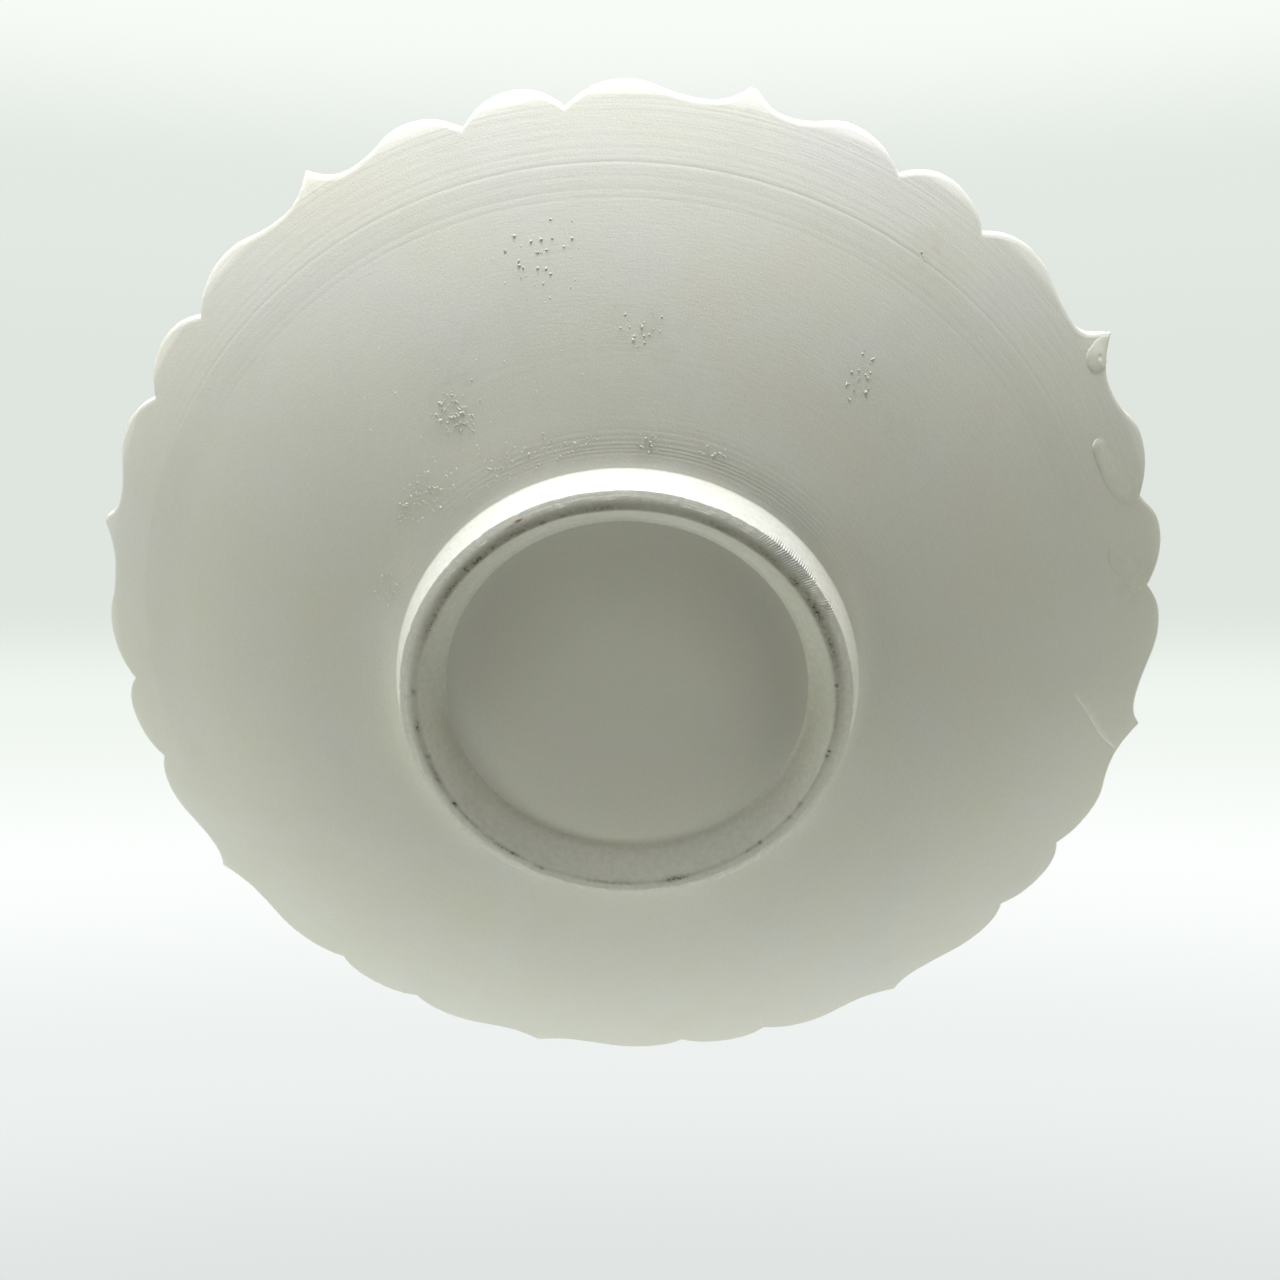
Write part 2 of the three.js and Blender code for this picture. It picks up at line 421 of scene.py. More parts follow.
def make_dish():
    dish = spun_piece("dish", dish_section(), COLUMNS)
    points = trim_to_outline(read_points(dish))
    r, degrees, z = to_polar(points)
    on_back = z < back_height(r) + BACK_SHARE * RIM_WALL
    inside_trim = 1 - smooth_share(r, *CENTRED_EDGE)
    new_r = np.where(on_back, r - off_centre_shift(r, degrees) * inside_trim, r)
    z = z + back_height(new_r) - back_height(r)
    slope = back_slope(new_r)
    lift = np.where(on_back, back_lift(new_r, degrees), 0)
    swell = hand_unevenness(new_r, degrees)
    z = z + np.where(on_back, rim_roll_off(new_r, degrees), 0)
    new_r = new_r + lift * np.sin(slope)
    z = z - lift * np.cos(slope) - swell
    write_points(dish, from_polar(new_r, degrees, np.minimum(z, BODY_HIGH.z)))
    write_attribute(dish, "stain", np.where(on_back, marks_on(new_r, degrees, STAINS), 0))
    # Painted shade over the floor inside the foot ring
    write_attribute(dish, "dust_and_shade", np.where(on_back, recess_shade(new_r, degrees), 0))
    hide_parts("dish_body")
    return dish


def foot_section():
    """The foot ring's section: bevel, bearing band, rounded shoulder, wall and its fillet."""
    bevel_top = (RECESS_RADIUS, back_height(RECESS_RADIUS))
    bevel_foot = (BEARING_INNER_RADIUS - 0.4 * MM, 0.5 * MM)
    section = [(bevel_top[0] - in_mm * MM, bevel_top[1] - under_mm * MM)
               for in_mm, under_mm in RECESS_END_MM]
    for t in np.linspace(0.09, 1, 24):
        r = bevel_top[0] + t * (bevel_foot[0] - bevel_top[0])
        z = bevel_top[1] + t * (bevel_foot[1] - bevel_top[1])
        section.append((r, z - BEVEL_BULGE * math.sin(math.pi * t)))
    section.append((BEARING_INNER_RADIUS - 0.05 * MM, 0.12 * MM))
    band = np.linspace(BEARING_INNER_RADIUS + 0.2 * MM, BEARING_CREST_RADIUS, 7)
    section += [(r, 0.0) for r in band]
    for t in np.linspace(0.06, 1, 18):
        r = BEARING_CREST_RADIUS + t * (SHOULDER_RADIUS - BEARING_CREST_RADIUS)
        section.append((r, SHOULDER_RISE * t ** SHOULDER_CURVE))
    corner = (SHOULDER_RADIUS + 0.02 * MM, SHOULDER_RISE + SHOULDER_CORNER)
    section += rounded_corner(corner, SHOULDER_CORNER, -55, -14, 5)
    wall_low = section[-1]
    wall_foot = back_height(WALL_TOP_RADIUS) - FILLET_HEIGHT
    wall_high = (WALL_TOP_RADIUS - 0.06 * MM, wall_foot - 0.4 * MM)
    for t in np.linspace(0.05, 1, 22):
        section.append((wall_low[0] + t * (wall_high[0] - wall_low[0]),
                        wall_low[1] + t * (wall_high[1] - wall_low[1])))
    for out_mm, under_mm in WALL_END_MM:
        r = WALL_TOP_RADIUS + out_mm * MM
        section.append((r, back_height(r) - foot_fillet(r) - under_mm * MM))
    section += [(r, back_height(r) + RING_SUNK) for r in (RING_RADIUS, RECESS_RADIUS)]
    return section + [section[0]]


def shoulder_chatter(degrees):
    """Small dents that the turning tool left all round the ring's shoulder."""
    draw = random.Random(23)
    dents = np.zeros_like(degrees)
    for _ in range(SHOULDER_DENTS):
        place = draw.uniform(-180, 180)
        width = draw.uniform(0.3, 1.1)
        depth = draw.uniform(0.03, 0.16)
        dents += depth * np.exp(-(turn_from(degrees, place) / width) ** 2)
    return dents * MM


def make_foot_ring():
    ring = spun_piece("foot_ring_turned", foot_section(), RING_COLUMNS)
    r, degrees, z = to_polar(read_points(ring))
    on_foot = z < 2 * SHOULDER_HEIGHT
    on_shoulder = on_foot & (r > BEARING_CREST_RADIUS + 2 * MM)
    fade = 1 - smooth_share(z, 0.5 * SHOULDER_HEIGHT, 2 * SHOULDER_HEIGHT)
    dents = np.where(on_shoulder, shoulder_chatter(degrees) * fade, 0)
    broken = 0.6 + 0.4 * np.cos(np.radians(7 * degrees) + 2 * np.cos(np.radians(3 * degrees)))
    line = np.exp(-((r - SHOULDER_LINE_RADIUS) / SHOULDER_LINE_HALF_WIDTH) ** 2) * broken
    line = np.where(on_foot, SHOULDER_LINE_DEPTH * line, 0)
    write_points(ring, from_polar(r - dents, degrees, z + 0.4 * dents + line))
    # Dusty grey along the bearing band, and painted shade on the bevel inside it
    write_attribute(ring, "dust_and_shade", ring_dust_and_shade(r, degrees, z))
    band = np.exp(-((r - CHATTER_RADIUS) / CHATTER_HALF_WIDTH) ** 4)
    bursts = [np.exp(-((degrees - middle) / half) ** 4) for middle, half in CHATTER_BURSTS]
    write_attribute(ring, "chatter", np.where(on_foot, np.maximum(*bursts) * band, 0))
    write_attribute(ring, "soot", np.where(on_foot, marks_on(r, degrees, KILN_DIRT), 0))
    write_attribute(ring, "rust", np.where(on_foot, marks_on(r, degrees, RUST_MARKS), 0))
    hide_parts("foot_ring")
    return ring


def coat_section():
    """The glaze coat's section. Its underside lies just inside the clay."""
    under = [(r * MM, front_height(r * MM) - COAT_SUNK) for r in COAT_RADII_MM]
    over = [(r * MM, front_height(r * MM) + COAT_PROUD) for r in COAT_RADII_MM[::-1]]
    rim_height = front_height(SPUR_RADIUS)
    lip = [(SPUR_RADIUS - in_mm * MM, rim_height - down_mm * MM) for in_mm, down_mm in COAT_LIP_MM]
    return under + lip + over


def make_coat():
    coat = spun_piece("glaze_front", coat_section(), COLUMNS)
    r, degrees, z = to_polar(trim_to_outline(read_points(coat)))
    z = z - hand_unevenness(r, degrees)
    write_points(coat, from_polar(r, degrees, np.minimum(z, cad_box[1][2])))
    edge = 1 - smooth_share(outline_radius(degrees) - r, 0.4 * MM, 2.2 * MM)
    write_attribute(coat, "edge", edge)
    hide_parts("glaze_coat")
    return coat


def back_skin(r, degrees):
    """Height of the finished back, with its turning marks and unevenness."""
    smooth_back = back_height(r) + rim_roll_off(r, degrees) - hand_unevenness(r, degrees)
    return smooth_back - back_lift(r, degrees) / np.cos(back_slope(r))


# Glaze that ran over the rim. A run's way is given in points from the cut edge to its round end,
# (degrees, mm in from the edge). Its half widths and depths are in mm at even steps along the
# way, and lean is how much thicker it is on one side. One run has a pit in its face
GLAZE_RUNS = {
    "glaze_drip": {
        "way": [(-45.4, 0), (-45, 5), (-44.3, 10.4)],
        "half_widths_mm": (1.0, 2.4, 3.5, 4.2, 4.0),
        "depths_mm": (0.1, 0.2, 0.3, 0.45, 0.6),
        "lean": 0.0,
        "pit": {"along": 0.66, "across": -0.5 * MM, "radius": 0.65 * MM, "depth": 0.32 * MM},
    },
    "glaze_run_1": {
        "way": [(-28.5, 0), (-30, 4.2), (-32, 6.4), (-34.5, 7.4), (-37.5, 7.6)],
        "half_widths_mm": (2.0, 3.2, 3.4, 3.0, 2.7),
        "depths_mm": (0.08, 0.12, 0.16, 0.24, 0.34),
        "lean": 0.95,
    },
    "glaze_run_2": {
        "way": [(-18, 0), (-19.8, 4.5), (-22, 8), (-24.9, 10.9)],
        "half_widths_mm": (1.8, 2.8, 3.6, 4.0, 3.4),
        "depths_mm": (0.06, 0.08, 0.10, 0.15, 0.22),
        "lean": 0.95,
    },
    "glaze_run_3": {
        "way": [(2.6, 0), (0, 9), (-6.9, 23.5)],
        "half_widths_mm": (1.4, 1.7, 2.0, 2.3, 2.3),
        "depths_mm": (0.05, 0.05, 0.06, 0.08, 0.14),
        "lean": 0.9,
    },
}
RUN_UP_THE_EDGE = 1.6 * MM
RUN_START_CAP = 1.5 * MM
RUN_END_CAP = 1.1
RUN_NEAR_EDGE = 5 * MM
RUN_SUNK = 0.2 * MM


def edge_path(outline):
    """Points (r, z) down the cut edge, round its corner and in along the back."""
    low = back_height(outline)
    path = [(outline, low + RUN_UP_THE_EDGE)]
    corner = (outline - BACK_EDGE_ROUNDING, low + 0.9 * BACK_EDGE_ROUNDING)
    path += rounded_corner(corner, BACK_EDGE_ROUNDING, 0, -50, 6)
    for r in np.linspace(outline - 1.8 * BACK_EDGE_ROUNDING, outline - 30 * MM, 60):
        path.append((r, back_height(r)))
    return np.array(path)


def line_lengths(points):
    """Distance along a line of points, at each point."""
    return np.concatenate([[0], np.cumsum(np.hypot(*np.diff(points, axis=0).T))])


def smoothed(values):
    """The mean of each value and the four on either side; the ends stay in place."""
    return np.convolve(np.pad(values, 4, "reflect", reflect_type="odd"), np.ones(9) / 9, "valid")


def run_way(facts, path, depth_in, outline):
    """The run's middle line, unrolled flat: metres round the rim and along the edge path."""
    steps = np.linspace(0, 1, 40)
    marks = np.linspace(0, 1, len(facts["way"]))
    degrees = np.interp(steps, marks, [point[0] for point in facts["way"]])
    inward = np.interp(steps, marks, [point[1] for point in facts["way"]]) * MM
    degrees, inward = smoothed(degrees), smoothed(inward)
    flat = np.interp(-(outline - inward), -path[6:, 0], depth_in[6:])
    in_corner = inward < BACK_EDGE_ROUNDING
    flat[in_corner] = np.linspace(0, flat[~in_corner][0], int(in_corner.sum()))
    return np.stack([np.radians(degrees) * outline, flat], axis=1)


def bead_shape(facts, ball, length):
    """How far the points of a ball, drawn into a run, lie along it, aside and outwards."""
    along = (ball[:, 2] + 1) / 2
    place = along * length
    steps = np.linspace(0, 1, len(facts["half_widths_mm"]))
    half_width = np.interp(along, steps, facts["half_widths_mm"]) * MM
    end_cap = RUN_END_CAP * facts["half_widths_mm"][-1] * MM
    from_end = np.clip((length - place) / end_cap, 0, 1)
    from_start = np.clip(place / RUN_START_CAP, 0, 1)
    fullness = np.sqrt((1 - (1 - from_end) ** 2) * (1 - (1 - from_start) ** 2))
    girth = np.maximum(np.hypot(ball[:, 0], ball[:, 1]), 1e-9)
    aside = ball[:, 1] / girth
    across = aside * fullness * half_width
    dome = ball[:, 0] / girth * fullness
    depth = np.interp(along, steps, facts["depths_mm"]) * MM * (1 - facts["lean"] * aside)
    out = np.where(dome > 0, dome * depth, dome * RUN_SUNK)
    if "pit" in facts:
        pit = facts["pit"]
        away = np.hypot((along - pit["along"]) * length, across - pit["across"])
        hollow = pit["depth"] * np.exp(-(away / pit["radius"]) ** 2)
        out -= hollow * smooth_share(dome, 0.2, 0.6)
    return place, across, out


def make_glaze_run(node, facts):
    """A bead of glaze: a sphere flattened and laid along the run's way."""
    bpy.ops.mesh.primitive_uv_sphere_add(segments=64, ring_count=64, radius=1)
    run = bpy.context.object
    run.name = node + "_bead"
    bpy.ops.object.shade_smooth()
    outline = outline_radius(np.array([facts["way"][0][0]]))[0]
    path = edge_path(outline)
    depth_in = line_lengths(path)
    way = run_way(facts, path, depth_in, outline)
    length_at = line_lengths(way)
    place, across, out = bead_shape(facts, read_points(run), length_at[-1])
    heading = np.gradient(way, length_at, axis=0)
    turn_u = np.interp(place, length_at, -heading[:, 1])
    turn_w = np.interp(place, length_at, heading[:, 0])
    u = np.interp(place, length_at, way[:, 0]) + across * turn_u
    w = np.clip(np.interp(place, length_at, way[:, 1]) + across * turn_w, 0, None)
    degrees = np.degrees(u / outline)
    r = np.interp(w, depth_in, path[:, 0])
    z = np.interp(w, depth_in, path[:, 1])
    slope = np.gradient(path, depth_in, axis=0)
    away_r = -np.interp(w, depth_in, slope[:, 1])
    away_z = np.interp(w, depth_in, slope[:, 0])
    near_edge = np.clip(1 - (outline - r) / RUN_NEAR_EDGE, 0, 1)
    local_r = r + (outline_radius(degrees) - outline) * near_edge
    z = z + back_height(local_r) - back_height(r) - hand_unevenness(local_r, degrees)
    z = z + rim_roll_off(local_r, degrees)
    write_points(run, from_polar(local_r + out * away_r, degrees, z + out * away_z))
    face_outwards()
    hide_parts(node)
    return run


# Grit that the turning tool dragged out of the clay. Its largest grains are placed one by one:
# degrees, mm from the axis, and half width in mm
LONE_GRAINS = [
    (-115.3, 129, 0.59),
    (-116.8, 125.8, 0.39),
    (-115.4, 122.8, 0.57),
    (-115, 121, 0.41),
    (-112.8, 123.8, 0.36),
    (-111.7, 124.1, 0.52),
    (-112.1, 119.6, 0.5),
    (-110.7, 131.3, 0.45),
    (-108.2, 130.2, 0.32),
    (-107.7, 123.4, 0.34),
    (-112.8, 116.1, 0.36),
    (-109.2, 114.2, 0.39),
    (-112.2, 112.3, 0.36),
    (-127, 98.4, 0.34),
    (-133.4, 97.1, 0.62),
    (-131, 97.3, 0.5),
    (-130.9, 95.3, 0.45),
    (-133.2, 94.8, 0.48),
    (-127.1, 92.9, 0.41),
    (-126.7, 77.1, 0.52),
    (-123, 74.8, 0.41),
    (-102.5, 103.2, 0.39),
    (-101.8, 106.6, 0.41),
    (-138.6, 105.7, 0.39),
    (-67.2, 106, 0.48),
    (-67.6, 109.4, 0.39),
    (-66.1, 114.9, 0.34),
    (-65.5, 103.3, 0.45),
    (-85.8, 73.8, 0.41),
]

# The rest lies in patches: how many grains, between which angles and distances from the axis
# (mm), and the usual grain's half width (mm)
GRIT_PATCHES = [
    (26, (-119.5, -106.5), (110, 133), 0.28),
    (26, (-68.2, -63.8), (103, 116), 0.3),
    (7, (-68.4, -66.2), (141.5, 147.5), 0.21),
    (16, (-102.6, -95.5), (97, 108), 0.29),
    (90, (-135.4, -129.2), (85, 99), 0.29),
    (50, (-140, -124), (78, 104), 0.18),
    (110, (-157, -137), (73, 86.5), 0.27),
    (60, (-174, -163), (69.6, 79), 0.25),
    (20, (-87, -79), (72, 77.2), 0.26),
    (30, (-100, -93), (69.4, 77), 0.29),
    (80, (-138.6, -104), (69.8, 79), 0.27),
    (90, (-165, -60), (80, 135), 0.17),
]
GRAIN_SUNK = 0.12
GRAIN_JOLT = 0.04 * MM


def add_grain(degrees, r, half, draw):
    height = back_skin(np.array([r]), np.array([degrees]))[0]
    turn = math.radians(degrees)
    bpy.ops.mesh.primitive_ico_sphere_add(
        subdivisions=1,
        radius=half,
        location=(r * math.cos(turn), r * math.sin(turn), height + GRAIN_SUNK * half),
        rotation=[draw.uniform(0, 6.28) for _ in range(3)],
        scale=(1, draw.uniform(0.6, 1.0), draw.uniform(0.6, 0.9)),
    )


def make_grit():
    """Grains of grit a little more than half sunk in the back, each a small rough lump."""
    draw = random.Random(41)
    bpy.ops.mesh.primitive_ico_sphere_add(subdivisions=1, radius=0.3 * MM)
    grit = bpy.context.object
    grit.name = "grit_in_back"
    bpy.ops.object.mode_set(mode="EDIT")
    bpy.ops.mesh.delete(type="VERT")
    for degrees, distance_mm, half_mm in LONE_GRAINS:
        add_grain(degrees, distance_mm * MM, half_mm * MM, draw)
    for count, angles, radii_mm, grain_mm in GRIT_PATCHES:
        for _ in range(count):
            half = grain_mm * MM * min(draw.lognormvariate(0, 0.4), 2.2)
            r = draw.triangular(*radii_mm) * MM
            add_grain(draw.triangular(*angles), r, half, draw)
    bpy.ops.object.mode_set(mode="OBJECT")
    points = read_points(grit)
    jolt = [draw.uniform(-1, 1) * GRAIN_JOLT for _ in range(points.size)]
    write_points(grit, points + np.array(jolt).reshape(-1, 3))
    bpy.ops.object.transform_apply(location=True, rotation=True, scale=True)
    bpy.ops.object.shade_smooth()
    return grit


class Nodes:
    """A node tree, with one short call for each kind of node that the finishes below need."""

    def __init__(self, tree):
        self.tree = tree

    def set_input(self, socket, value):
        if isinstance(value, bpy.types.NodeSocket):
            self.tree.links.new(value, socket)
        elif socket.type == "RGBA":
            socket.default_value = (*value, 1)
        else:
            socket.default_value = value

    def add(self, kind, inputs, output=0, **settings):
        """Adds a node. Its inputs, and the output that is handed back, go by name or number."""
        node = self.tree.nodes.new("ShaderNode" + kind)
        for name, value in settings.items():
            setattr(node, name, value)
        for socket, value in inputs.items():
            self.set_input(node.inputs[socket], value)
        return node.outputs[output]

    def maths(self, operation, first, second=0.0):
        return self.add("Math", {0: first, 1: second}, operation=operation)

    def times(self, first, second):
        return self.maths("MULTIPLY", first, second)

    def vector(self, operation, first, second=(0, 0, 0)):
        output = "Value" if operation in ("LENGTH", "DOT_PRODUCT") else "Vector"
        return self.add("VectorMath", {0: first, 1: second}, output, operation=operation)

    def spread(self, value, low, high, to_low=0.0, to_high=1.0, smooth=True):
        """Maps low..high to to_low..to_high and holds the ends."""
        ends = {"From Min": low, "From Max": high, "To Min": to_low, "To Max": to_high}
        way = "SMOOTHSTEP" if smooth else "LINEAR"
        return self.add("MapRange", {"Value": value, **ends}, "Result", interpolation_type=way)

    def blend(self, share, first, second):
        return self.add("Mix", {"Factor": share, 6: first, 7: second}, 2, data_type="RGBA")


class Recipe(Nodes):
    """A material's nodes, with its patterns placed by the piece's own coordinates."""

    def __init__(self, name, shading):
        self.material = bpy.data.materials.new(name)
        self.material.use_nodes = True
        super().__init__(self.material.node_tree)
        self.shader = self.tree.nodes["Principled BSDF"]
        for socket, value in shading.items():
            self.set_input(self.shader.inputs[socket], value)
        self.place = self.add("TexCoord", {}, "Object")

    def noise(self, size, detail=2.0, place=None, roughness=0.5):
        """A cloudy pattern whose patches are about size metres across, from 0 to 1."""
        place = self.place if place is None else place
        inputs = {"Vector": place, "Scale": 1 / size, "Detail": detail, "Roughness": roughness}
        return self.add("TexNoise", inputs, "Fac")

    def line_noise(self, distance, size, detail):
        """The same along one distance only: rings when the distance is from an axis."""
        inputs = {"W": distance, "Scale": 1 / size, "Detail": detail}
        return self.add("TexNoise", inputs, "Fac", noise_dimensions="1D")

    def turn(self):
        """The angle round the plate's axis, in radians."""
        y, x = (self.add("SeparateXYZ", {0: self.place}, axis) for axis in "YX")
        return self.maths("ARCTAN2", y, x)

    def attribute(self, name):
        return self.add("Attribute", {}, "Fac", attribute_name=name)

    def shade(self, colour, factor):
        """The colour made lighter or darker by a factor that varies over the surface."""
        return self.add("VectorMath", {0: colour, "Scale": factor}, operation="SCALE")

    def bump(self, height, distance, below=None):
        inputs = {"Strength": 1.0, "Distance": distance, "Height": height}
        if below is not None:
            inputs["Normal"] = below
        return self.add("Bump", inputs)

    def finish(self, colour, normal):
        self.set_input(self.shader.inputs["Base Color"], colour)
        self.set_input(self.shader.inputs["Normal"], normal)
        return self.material


# Colours of the clay, of what lies on it and of the glaze: linear red, green and blue
CLAY = (0.765, 0.765, 0.690)
CLAY_WARM = (0.735, 0.725, 0.620)
CLAY_COOL = (0.772, 0.772, 0.728)
SMEAR = (0.470, 0.455, 0.350)
# A dusty grey, also used as painted shade on the bevel and on the floor inside the foot ring
DUST_AND_SHADE = (0.400, 0.395, 0.335)
SOOT = (0.045, 0.035, 0.025)
GRIME = (0.175, 0.150, 0.095)
RUST = (0.240, 0.085, 0.055)
GLAZE_WHITE = (0.800, 0.800, 0.735)
GLAZE_THIN = (0.735, 0.725, 0.645)
GLAZE_EDGE = (0.620, 0.585, 0.480)
RUN_LIGHT = (0.760, 0.762, 0.680)
RUN_THIN = (0.725, 0.728, 0.630)

# A duller band of clay near the rim: where it starts, is full and ends, and how much it loses
DULL_BAND_MM = (131.0, 140.0, 145.3)
DULL_BAND_LOSS = 0.035


def axis_distance(mix):
    """Distance from the plate's axis, and from the axis that the rim was turned about."""
    flat = mix.vector("MULTIPLY", mix.place, (1, 1, 0))
    r = mix.vector("LENGTH", flat)
    towards = math.radians(OFF_CENTRE_ANGLE)
    aside = mix.vector("DOT_PRODUCT", flat, (math.cos(towards), -math.sin(towards), 0))
    share = mix.spread(r, OFF_CENTRE_FROM, OFF_CENTRE_FULL, 0, OFF_CENTRE)
    shift = mix.times(share, mix.maths("DIVIDE", aside, r))
    return r, mix.maths("ADD", r, shift)


def dull_band(mix, line):
    """The band inside the deepest turned line near the rim, where the clay is a little duller."""
    inner, full, outer = (distance * MM for distance in DULL_BAND_MM)
    rise = mix.spread(line, inner, full)
    fall = mix.spread(line, outer, outer + 0.8 * MM)
    return mix.maths("SUBTRACT", rise, fall)


def turned_clay(name, line_depth, grain_depth):
    """Matt biscuit clay: fine turned rings near the rim and the foot, short strokes and grain."""
    mix = Recipe(name, {"Roughness": 0.86, "Specular IOR Level": 0.3})
    r, line = axis_distance(mix)
    near_rim = mix.spread(r, 136 * MM, 156 * MM, 0, 1.2)
    near_foot = mix.spread(r, 88 * MM, 70 * MM)
    lively = mix.maths("MAXIMUM", mix.maths("MAXIMUM", near_rim, near_foot), 0.1)
    lively = mix.times(lively, mix.spread(r, 56 * MM, 64 * MM))
    broken = mix.spread(mix.noise(26 * MM), 0.35, 0.65, 0.35, 1)
    flat = mix.vector("NORMALIZE", mix.vector("MULTIPLY", mix.place, (1, 1, 0)))
    deepest = math.radians(LINES_DEEPEST_ANGLE)
    facing = mix.vector("DOT_PRODUCT", flat, (math.cos(deepest), math.sin(deepest), 0))
    lively = mix.times(lively, mix.spread(facing, 0, 0.85, 0.4, 1))
    rings = mix.maths("SUBTRACT", mix.line_noise(line, 1.1 * MM, 3), 0.5)
    rings = mix.times(mix.times(rings, lively), broken)
    round_axis = mix.vector("MULTIPLY", flat, (26, 26, 0))
    out_from_axis = mix.shade((0, 0, 1), mix.maths("DIVIDE", line, 0.6 * MM))
    strokes = mix.noise(1, 2, mix.vector("ADD", round_axis, out_from_axis))
    grain = mix.noise(0.55 * MM, 3, roughness=0.65)
    mottle = mix.noise(34 * MM, 4)
    patches = mix.noise(28 * MM, 3)
    tone = mix.spread(mottle, 0.3, 0.7, 0.975, 1.02, smooth=False)
    tone = mix.maths("ADD", tone, mix.spread(grain, 0.25, 0.75, -0.05, 0.05, smooth=False))
    tone = mix.maths("ADD", tone, mix.spread(strokes, 0.3, 0.7, -0.008, 0.008, smooth=False))
    dullness = mix.spread(facing, -0.2, 0.6, 0.1 * DULL_BAND_LOSS, DULL_BAND_LOSS)
    dullness = mix.times(dull_band(mix, line), dullness)
    tone = mix.maths("SUBTRACT", tone, dullness)
    colour = mix.blend(mix.spread(patches, 0.4, 0.75), CLAY, CLAY_COOL)
    colour = mix.blend(mix.spread(mottle, 0.45, 0.8, 0, 0.7), colour, CLAY_WARM)
    # Blends to a dusty grey, which is dirt on the ring's bearing band and painted shade on its
    # bevel and on the floor inside it
    colour = mix.blend(mix.attribute("dust_and_shade"), mix.shade(colour, tone), DUST_AND_SHADE)
    normal = mix.bump(rings, 0.06 * line_depth)
    normal = mix.bump(strokes, 0.035 * line_depth, normal)
    normal = mix.bump(grain, grain_depth, normal)
    return mix, colour, normal


def back_clay():
    """The dish's clay, with the greenish stains that the attribute "stain" places."""
    mix, colour, normal = turned_clay("biscuit_clay_back", 1.0 * MM, 0.06 * MM)
    cloud = mix.noise(4 * MM, 4, roughness=0.6)
    share = mix.times(mix.attribute("stain"), mix.spread(cloud, 0.3, 0.7))
    return mix.finish(mix.blend(share, colour, SMEAR), normal)


def ring_clay():
    """The foot ring's clay, with kiln dirt, rust and chatter where its attributes place them."""
    mix, colour, normal = turned_clay("biscuit_clay_ring", 0.9 * MM, 0.11 * MM)
    soot = mix.attribute("soot")
    cloud = mix.noise(1.3 * MM, 4, roughness=0.65)
    speck = mix.noise(0.8 * MM, roughness=0.6)
    mottle = mix.noise(1.9 * MM, 4, roughness=0.65)
    colour = mix.shade(colour, mix.spread(mottle, 0.3, 0.7, 0.93, 1.05, smooth=False))
    smear = mix.times(soot, mix.spread(cloud, 0.35, 0.65, 0.2, 1))
    colour = mix.blend(mix.spread(smear, 0, 0.8, 0, 0.9, smooth=False), colour, GRIME)
    fleck = mix.times(mix.maths("SUBTRACT", speck, 0.5), 3)
    fleck = mix.maths("ADD", mix.times(soot, 1.1), fleck)
    dark = mix.spread(fleck, 0.95, 1.35)
    dark = mix.times(dark, mix.spread(soot, 0.08, 0.25))
    colour = mix.blend(dark, colour, SOOT)
    r, _ = axis_distance(mix)
    teeth = mix.times(mix.turn(), CHATTER_TEETH)
    slant = mix.maths("DIVIDE", r, CHATTER_SLANT)
    chatter = mix.maths("SINE", mix.maths("SUBTRACT", teeth, slant))
    chatter = mix.times(chatter, mix.attribute("chatter"))
    normal = mix.bump(mottle, 0.22 * MM, normal)
    normal = mix.bump(chatter, CHATTER_DEPTH, normal)
    colour = mix.blend(mix.attribute("rust"), colour, RUST)
    return mix.finish(colour, normal)


def grit_clay():
    mix = Recipe("biscuit_clay_grit", {"Roughness": 0.9, "Specular IOR Level": 0.25})
    grain = mix.noise(0.3 * MM, 3)
    colour = mix.shade(CLAY, mix.spread(grain, 0.3, 0.7, 0.84, 1))
    return mix.finish(colour, mix.bump(grain, 0.04 * MM))


def milky_glaze():
    """Soft white glaze over faint throwing rings, thin and warm at the rim, with pinholes."""
    shine = {"Roughness": 0.2, "IOR": 1.5, "Coat Weight": 0.25, "Coat Roughness": 0.08}
    mix = Recipe("glaze_front", shine)
    _, line = axis_distance(mix)
    wave = mix.noise(14 * MM)
    ripple = mix.noise(1.6 * MM)
    rings = mix.line_noise(line, 4.5 * MM, 2)
    cloud = mix.noise(30 * MM, 3)
    fine_cloud = mix.noise(2.4 * MM, 3)
    holes = mix.noise(0.9 * MM, 1)
    colour = mix.blend(mix.spread(cloud, 0.45, 0.8, 0, 0.3), GLAZE_WHITE, GLAZE_THIN)
    uneven = mix.spread(fine_cloud, 0.3, 0.7, 0.5, 1)
    thin = mix.times(mix.attribute("edge"), uneven)
    colour = mix.blend(thin, colour, GLAZE_EDGE)
    pinhole = mix.spread(holes, 0.80, 0.86)
    colour = mix.blend(mix.times(pinhole, 0.5), colour, SMEAR)
    normal = mix.bump(wave, 0.30 * MM)
    normal = mix.bump(rings, 0.12 * MM, normal)
    normal = mix.bump(ripple, 0.012 * MM, normal)
    normal = mix.bump(mix.maths("SUBTRACT", 1, pinhole), 0.08 * MM, normal)
    return mix.finish(colour, normal)


def dull_glaze():
    """The thin runs on the back: nearly the clay's colour, with only a soft sheen."""
    mix = Recipe("glaze_runs", {"Roughness": 0.52, "Specular IOR Level": 0.35})
    wave = mix.noise(2.5 * MM)
    grain = mix.noise(0.6 * MM, 3)
    cloud = mix.noise(3 * MM, 3)
    colour = mix.blend(mix.spread(cloud, 0.35, 0.7), RUN_LIGHT, RUN_THIN)
    normal = mix.bump(wave, 0.10 * MM)
    normal = mix.bump(grain, 0.07 * MM, normal)
    return mix.finish(colour, normal)


def set_material(piece, material):
    piece.data.materials.append(material)


def write_attribute(piece, name, values):
    layer = piece.data.attributes.new(name, "FLOAT", "POINT")
    layer.data.foreach_set("value", np.asarray(values, dtype=np.float32))


